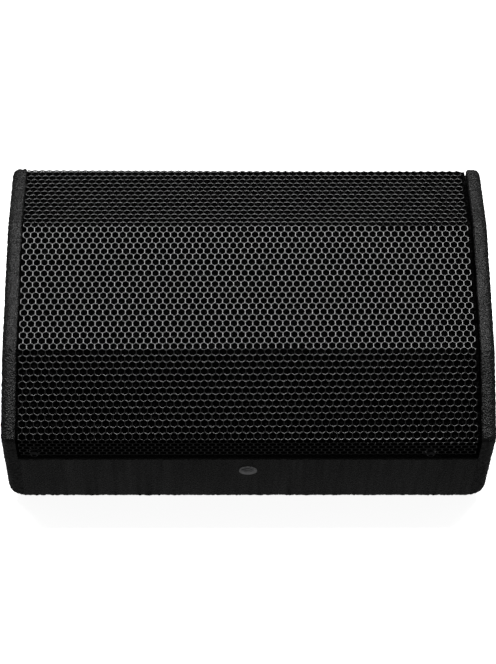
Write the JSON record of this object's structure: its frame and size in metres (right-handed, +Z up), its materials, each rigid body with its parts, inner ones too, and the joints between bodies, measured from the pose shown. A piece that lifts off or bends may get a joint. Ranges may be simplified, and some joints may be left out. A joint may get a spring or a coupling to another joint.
{
  "type": "stage monitor wedge",
  "caption": "Low wedge-shaped floor loudspeaker for a stage, with a folded perforated grille, proud side panels, coaxial driver, carrying bar and rear connector recess.",
  "frame": {"origin": "on the floor under the middle of the cabinet, at the bottom of the rubber feet", "axes": "+X to the right seen from the front, -Y towards the performer, +Z up"},
  "size_m": [0.588, 0.438, 0.356],
  "materials": {
    "coated_plywood": "fine-textured black protective coating on birch plywood",
    "black_steel": "black powder coat, semi-gloss",
    "bright_steel": "zinc-plated steel",
    "cast_frame": "cast alloy, painted black",
    "titanium": "thin bright foil",
    "ferrite": "dark sintered ferrite",
    "black_plastic": "moulded, slightly glossy",
    "rubber": "matt black",
    "foam": "open-cell black foam and treated cloth",
    "cone_paper": "treated black paper",
    "copper": "enamelled copper winding",
    "circuit_board": "green solder resist"
  },
  "bodies": {
    "cabinet": {"baffle": "coated_plywood", "grille_batten": "coated_plywood", "side_panel_left": "coated_plywood", "side_panel_right": "coated_plywood", "chin_panel": "coated_plywood", "base_panel": "coated_plywood", "rear_panel": "coated_plywood", "back_slope_panel": "coated_plywood", "grille": "black_steel", "grille_screw_left": "black_steel", "grille_screw_right": "black_steel", "grille_back_screw_left": "black_steel", "grille_back_screw_right": "black_steel", "handle_cup": "black_steel", "handle_cup_screw_1": "black_steel", "handle_cup_screw_2": "black_steel", "handle_cup_screw_3": "black_steel", "handle_cup_screw_4": "black_steel", "connector_plate": "black_steel", "connector_plate_screw_1": "black_steel", "connector_plate_screw_2": "black_steel", "connector_plate_screw_3": "black_steel", "connector_plate_screw_4": "black_steel", "driver_bolt_1": "black_steel", "driver_bolt_2": "black_steel", "driver_bolt_3": "black_steel", "driver_bolt_4": "black_steel", "grille_spacer_left": "bright_steel", "grille_spacer_right": "bright_steel", "pole_insert": "bright_steel", "woofer_top_plate": "bright_steel", "woofer_back_plate": "bright_steel", "woofer_basket": "cast_frame", "woofer_magnet": "ferrite", "hf_magnet": "ferrite", "speaker_socket_in": "black_plastic", "speaker_socket_link": "black_plastic", "mode_switch": "black_plastic", "hf_horn": "black_plastic", "hf_phase_plug": "black_plastic", "hf_cover": "black_plastic", "port_tube_left": "black_plastic", "port_tube_right": "black_plastic", "crossover_capacitor": "black_plastic", "foot_front_left": "rubber", "foot_front_right": "rubber", "foot_rear_left": "rubber", "foot_rear_right": "rubber", "handle_bar": "rubber", "woofer_surround": "rubber", "driver_lead": "rubber", "grille_foam": "foam", "woofer_gasket": "foam", "woofer_spider": "foam", "crossover_coil": "copper", "crossover_board": "circuit_board"},
    "cone": {"woofer_cone": "cone_paper", "woofer_voice_coil": "copper"},
    "diaphragm": {"hf_diaphragm": "titanium"},
    "selector": {"mode_selector_knob": "black_plastic"}
  },
  "joints": [
    {"name": "cone_travel", "type": "slide", "parent": "cabinet", "child": "cone", "axis": [0, -0.5835, 0.8121], "range_m": [-0.006, 0.006], "stiffness_N_per_m": 6000, "deforming": ["woofer_surround", "woofer_spider"]},
    {"name": "diaphragm_travel", "type": "slide", "parent": "cabinet", "child": "diaphragm", "axis": [0, -0.5835, 0.8121], "range_m": [-0.0003, 0.0003], "stiffness_N_per_m": 3000},
    {"name": "selector_turn", "type": "hinge", "parent": "cabinet", "child": "selector", "pos_m": [0.048, 0.17386, 0.0865], "axis": [0, 1, 0], "range_deg": [0, 90]}
  ]
}
